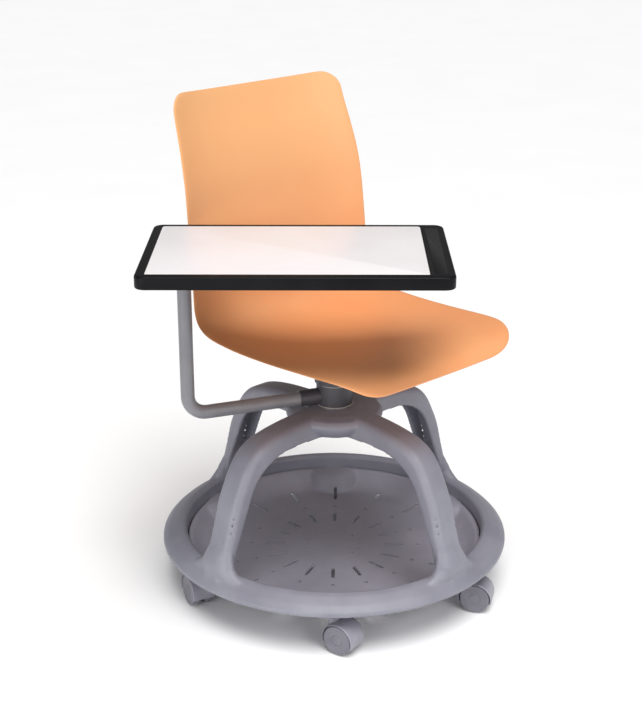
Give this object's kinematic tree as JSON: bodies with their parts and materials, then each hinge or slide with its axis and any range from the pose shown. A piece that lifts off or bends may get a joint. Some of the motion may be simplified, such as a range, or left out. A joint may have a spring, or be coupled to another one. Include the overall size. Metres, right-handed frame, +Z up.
{
  "type": "student desk chair",
  "caption": "Swivel shell chair on a ring base with arched legs, a perforated bag tray and casters, and a writing tablet on a swinging side arm.",
  "frame": {"origin": "on the floor, under the swivel spindle's axis", "axes": "+Z up along the spindle; -Y towards the tablet's front edge; +X along the tablet's long edge, away from its arm"},
  "size_m": [0.6, 0.645, 0.8426],
  "materials": {
    "base_plastic": "fine moulded texture, glass-filled nylon",
    "tray_plastic": "fine moulded texture, polypropylene",
    "shell_plastic": "satin moulded polypropylene",
    "arm_paint": "powder coat",
    "tablet_plastic": "satin ABS",
    "inlay_plastic": "semi gloss",
    "writing_laminate": "gloss laminate",
    "caster_plastic": "moulded nylon",
    "wheel_nylon": "moulded nylon",
    "nylon": "natural acetal",
    "rubber": "matt",
    "steel": "zinc plated"
  },
  "bodies": {
    "base": {"base_frame": "base_plastic", "bag_tray": "tray_plastic", "caster_sockets": "nylon", "caster_stems": "steel", "swivel_spindle": "steel", "spindle_washer": "steel", "spindle_bolt": "steel", "retaining_washer": "steel", "retaining_screw": "steel", "thrust_washer": "nylon"},
    "seat": {"seat_hub": "arm_paint", "seat_bush": "nylon", "seat_plate": "arm_paint", "seat_spacers": "rubber", "seat_screws": "steel", "seat_shell": "shell_plastic", "upper_thrust_washer": "nylon"},
    "arm": {"arm_collar": "arm_paint", "clamp_screw": "steel", "arm_bush": "nylon", "arm_tube": "arm_paint", "pivot_bush": "nylon"},
    "tablet": {"tablet_frame": "tablet_plastic", "tablet_surface": "writing_laminate", "tablet_inlay": "inlay_plastic", "tablet_cover": "tablet_plastic", "tablet_bracket": "arm_paint", "bracket_screws": "steel"},
    "caster_1": {"caster_1_body": "caster_plastic", "caster_1_axle": "steel"},
    "caster_1_left": {"caster_1_wheel_left": "wheel_nylon"},
    "caster_1_right": {"caster_1_wheel_right": "wheel_nylon"},
    "caster_2": {"caster_2_body": "caster_plastic", "caster_2_axle": "steel"},
    "caster_2_left": {"caster_2_wheel_left": "wheel_nylon"},
    "caster_2_right": {"caster_2_wheel_right": "wheel_nylon"},
    "caster_3": {"caster_3_body": "caster_plastic", "caster_3_axle": "steel"},
    "caster_3_left": {"caster_3_wheel_left": "wheel_nylon"},
    "caster_3_right": {"caster_3_wheel_right": "wheel_nylon"},
    "caster_4": {"caster_4_body": "caster_plastic", "caster_4_axle": "steel"},
    "caster_4_left": {"caster_4_wheel_left": "wheel_nylon"},
    "caster_4_right": {"caster_4_wheel_right": "wheel_nylon"},
    "caster_5": {"caster_5_body": "caster_plastic", "caster_5_axle": "steel"},
    "caster_5_left": {"caster_5_wheel_left": "wheel_nylon"},
    "caster_5_right": {"caster_5_wheel_right": "wheel_nylon"},
    "caster_6": {"caster_6_body": "caster_plastic", "caster_6_axle": "steel"},
    "caster_6_left": {"caster_6_wheel_left": "wheel_nylon"},
    "caster_6_right": {"caster_6_wheel_right": "wheel_nylon"}
  },
  "joints": [
    {"name": "seat_swivel", "type": "hinge", "parent": "base", "child": "seat", "pos_m": [0, 0, 0.395], "axis": [0, 0, 1], "continuous": true},
    {"name": "arm_swing", "type": "hinge", "parent": "seat", "child": "arm", "pos_m": [0, 0, 0.338], "axis": [0, 0, 1], "range_deg": [0, 45]},
    {"name": "tablet_pivot", "type": "hinge", "parent": "arm", "child": "tablet", "pos_m": [-0.241, -0.092, 0.616], "axis": [0, 0, 1], "range_deg": [-90, 0]},
    {"name": "caster_1_swivel", "type": "hinge", "parent": "base", "child": "caster_1", "pos_m": [0, -0.26, 0.055], "axis": [0, 0, 1], "continuous": true},
    {"name": "caster_1_left_roll", "type": "hinge", "parent": "caster_1", "child": "caster_1_left", "pos_m": [0.01342, -0.26871, 0.0265], "axis": [0.5446, 0.8387, 0], "continuous": true},
    {"name": "caster_1_right_roll", "type": "hinge", "parent": "caster_1", "child": "caster_1_right", "pos_m": [0.01342, -0.26871, 0.0265], "axis": [0.5446, 0.8387, 0], "continuous": true},
    {"name": "caster_2_swivel", "type": "hinge", "parent": "base", "child": "caster_2", "pos_m": [0.22517, -0.13, 0.055], "axis": [0, 0, 1], "continuous": true},
    {"name": "caster_2_left_roll", "type": "hinge", "parent": "caster_2", "child": "caster_2_left", "pos_m": [0.24062, -0.13414, 0.0265], "axis": [0.2588, 0.9659, 0], "continuous": true},
    {"name": "caster_2_right_roll", "type": "hinge", "parent": "caster_2", "child": "caster_2_right", "pos_m": [0.24062, -0.13414, 0.0265], "axis": [0.2588, 0.9659, 0], "continuous": true},
    {"name": "caster_3_swivel", "type": "hinge", "parent": "base", "child": "caster_3", "pos_m": [0.22517, 0.13, 0.055], "axis": [0, 0, 1], "continuous": true},
    {"name": "caster_3_left_roll", "type": "hinge", "parent": "caster_3", "child": "caster_3_left", "pos_m": [0.23742, 0.14028, 0.0265], "axis": [-0.6428, 0.766, 0], "continuous": true},
    {"name": "caster_3_right_roll", "type": "hinge", "parent": "caster_3", "child": "caster_3_right", "pos_m": [0.23742, 0.14028, 0.0265], "axis": [-0.6428, 0.766, 0], "continuous": true},
    {"name": "caster_4_swivel", "type": "hinge", "parent": "base", "child": "caster_4", "pos_m": [0, 0.26, 0.055], "axis": [0, 0, 1], "continuous": true},
    {"name": "caster_4_left_roll", "type": "hinge", "parent": "caster_4", "child": "caster_4_left", "pos_m": [0.00414, 0.27546, 0.0265], "axis": [-0.9659, 0.2588, 0], "continuous": true},
    {"name": "caster_4_right_roll", "type": "hinge", "parent": "caster_4", "child": "caster_4_right", "pos_m": [0.00414, 0.27546, 0.0265], "axis": [-0.9659, 0.2588, 0], "continuous": true},
    {"name": "caster_5_swivel", "type": "hinge", "parent": "base", "child": "caster_5", "pos_m": [-0.22517, 0.13, 0.055], "axis": [0, 0, 1], "continuous": true},
    {"name": "caster_5_left_roll", "type": "hinge", "parent": "caster_5", "child": "caster_5_left", "pos_m": [-0.24062, 0.13414, 0.0265], "axis": [-0.2588, -0.9659, 0], "continuous": true},
    {"name": "caster_5_right_roll", "type": "hinge", "parent": "caster_5", "child": "caster_5_right", "pos_m": [-0.24062, 0.13414, 0.0265], "axis": [-0.2588, -0.9659, 0], "continuous": true},
    {"name": "caster_6_swivel", "type": "hinge", "parent": "base", "child": "caster_6", "pos_m": [-0.22517, -0.13, 0.055], "axis": [0, 0, 1], "continuous": true},
    {"name": "caster_6_left_roll", "type": "hinge", "parent": "caster_6", "child": "caster_6_left", "pos_m": [-0.23218, -0.11562, 0.0265], "axis": [-0.8988, -0.4384, 0], "continuous": true},
    {"name": "caster_6_right_roll", "type": "hinge", "parent": "caster_6", "child": "caster_6_right", "pos_m": [-0.23218, -0.11562, 0.0265], "axis": [-0.8988, -0.4384, 0], "continuous": true}
  ]
}
